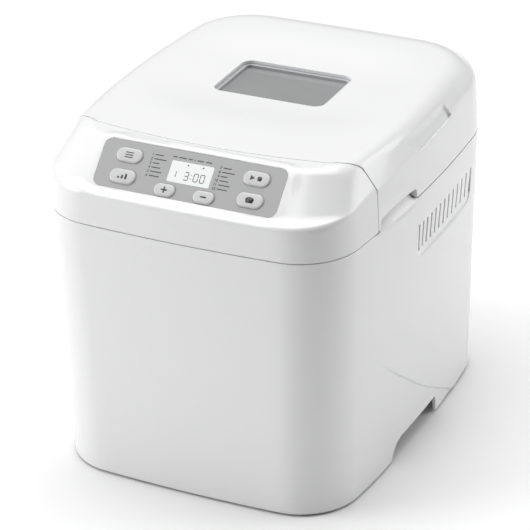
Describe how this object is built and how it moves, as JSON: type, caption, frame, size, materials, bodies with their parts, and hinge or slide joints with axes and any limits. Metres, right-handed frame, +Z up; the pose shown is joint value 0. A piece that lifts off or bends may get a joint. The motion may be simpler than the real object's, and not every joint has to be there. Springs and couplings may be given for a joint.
{
  "type": "bread machine",
  "caption": "Upright countertop bread machine with a hinged windowed lid, a sloping button panel, a bread pan with paddle, and a belt-driven kneading drive.",
  "frame": {"origin": "on the floor under the middle of the machine", "axes": "+Z up, front with the control panel faces -Y, +X to the right seen from the front"},
  "size_m": [0.24, 0.311, 0.2565],
  "materials": {
    "casing": "glossy white moulded plastic",
    "deck": "satin white heat-resistant plastic",
    "base": "satin white moulded plastic",
    "rubber": "soft moulded rubber",
    "screw_steel": "zinc plated",
    "panel_film": "satin silver-grey printed film",
    "lcd_clear": "clear lens",
    "lcd": "reflective display",
    "button": "light grey, semi-gloss",
    "circuit_board": "solder-masked board",
    "switch": "black moulded switch",
    "transformer_core": "varnished laminations",
    "capacitor_sleeve": "shrink sleeve",
    "chamber_steel": "aluminised sheet",
    "zinc_steel": "galvanised sheet",
    "element_sheath": "heat-darkened sheath",
    "ceramic": "glazed ceramic",
    "steel": "polished stainless",
    "belt_rubber": "reinforced rubber",
    "cast_aluminium": "die cast",
    "bronze": "sintered bronze",
    "core_iron": "stacked laminations",
    "copper": "enamelled copper wire",
    "nylon": "natural nylon",
    "window_trim": "satin grey plastic",
    "glass": "lightly tinted toughened glass",
    "pan_coating": "dark grey non-stick coating"
  },
  "bodies": {
    "housing": {"body_shell": "casing", "base_plate": "base", "rubber_feet": "rubber", "base_screws": "screw_steel", "top_cover": "casing", "deck_frame": "deck", "hinge_pins": "screw_steel", "control_overlay": "panel_film", "lcd_lens": "lcd_clear", "lcd_module": "lcd", "control_board": "circuit_board", "tact_switches": "switch", "board_screws": "screw_steel", "power_board": "circuit_board", "transformer": "transformer_core", "capacitor": "capacitor_sleeve", "oven_chamber": "chamber_steel", "chamber_standoffs": "zinc_steel", "chamber_screws": "screw_steel", "heat_shield": "chamber_steel", "heating_element": "element_sheath", "element_clips": "chamber_steel", "element_terminals": "ceramic", "temperature_sensor": "steel", "pan_socket": "chamber_steel", "drive_belt": "belt_rubber", "bearing_housing": "cast_aluminium", "bushes": "bronze", "motor_brackets": "cast_aluminium", "motor_core": "core_iron", "motor_windings": "copper", "chassis": "zinc_steel", "chassis_screws": "screw_steel", "cord_grommet": "rubber"},
    "lid": {"lid_shell": "casing", "window_frame": "window_trim", "window_glass": "glass", "window_retainer": "window_trim", "lid_liner": "chamber_steel", "inner_glass": "glass", "lid_seal": "rubber", "lid_screws": "screw_steel"},
    "pan": {"bread_pan": "pan_coating", "pan_bushing": "bronze"},
    "handle": {"pan_handle": "steel"},
    "paddle": {"pan_shaft": "steel", "wing_coupling": "cast_aluminium", "kneading_paddle": "pan_coating"},
    "drive": {"drive_coupling": "nylon", "drive_shaft": "steel", "large_pulley": "nylon"},
    "rotor": {"motor_rotor": "core_iron", "motor_pulley": "nylon", "motor_fan": "nylon"},
    "button_menu": {"button_menu": "button"},
    "button_color": {"button_color": "button"},
    "button_plus": {"button_plus": "button"},
    "button_minus": {"button_minus": "button"},
    "button_start_stop": {"button_start_stop": "button"},
    "button_loaf": {"button_loaf": "button"}
  },
  "joints": [
    {"name": "lid_hinge", "type": "hinge", "parent": "housing", "child": "lid", "pos_m": [0, 0.142, 0.2005], "axis": [-1, 0, 0], "range_deg": [0, 75]},
    {"name": "pan_twist", "type": "hinge", "parent": "housing", "child": "pan", "pos_m": [0, 0.02, 0.06], "axis": [0, 0, 1], "range_deg": [0, 12]},
    {"name": "handle_swing", "type": "hinge", "parent": "pan", "child": "handle", "pos_m": [0, 0.02, 0.184], "axis": [1, 0, 0], "range_deg": [0, 32]},
    {"name": "drive_spin", "type": "hinge", "parent": "housing", "child": "drive", "pos_m": [0, 0.02, 0.04], "axis": [0, 0, 1], "continuous": true},
    {"name": "rotor_spin", "type": "hinge", "parent": "housing", "child": "rotor", "pos_m": [-0.042, -0.104, 0.06], "axis": [0, 0, 1], "continuous": true},
    {"name": "paddle_spin", "type": "hinge", "parent": "pan", "child": "paddle", "pos_m": [0, 0.02, 0.08], "axis": [0, 0, 1], "continuous": true},
    {"name": "press_menu", "type": "slide", "parent": "housing", "child": "button_menu", "axis": [0, 0.7071, -0.7071], "range_m": [0, 0.001], "stiffness_N_per_m": 400},
    {"name": "press_color", "type": "slide", "parent": "housing", "child": "button_color", "axis": [0, 0.7071, -0.7071], "range_m": [0, 0.001], "stiffness_N_per_m": 400},
    {"name": "press_plus", "type": "slide", "parent": "housing", "child": "button_plus", "axis": [0, 0.7071, -0.7071], "range_m": [0, 0.001], "stiffness_N_per_m": 400},
    {"name": "press_minus", "type": "slide", "parent": "housing", "child": "button_minus", "axis": [0, 0.7071, -0.7071], "range_m": [0, 0.001], "stiffness_N_per_m": 400},
    {"name": "press_start_stop", "type": "slide", "parent": "housing", "child": "button_start_stop", "axis": [0, 0.7071, -0.7071], "range_m": [0, 0.001], "stiffness_N_per_m": 400},
    {"name": "press_loaf", "type": "slide", "parent": "housing", "child": "button_loaf", "axis": [0, 0.7071, -0.7071], "range_m": [0, 0.001], "stiffness_N_per_m": 400}
  ],
  "couplings": [
    {"joint": "paddle_spin", "follows": "drive_spin", "ratio": 1},
    {"joint": "rotor_spin", "follows": "drive_spin", "ratio": 6}
  ]
}
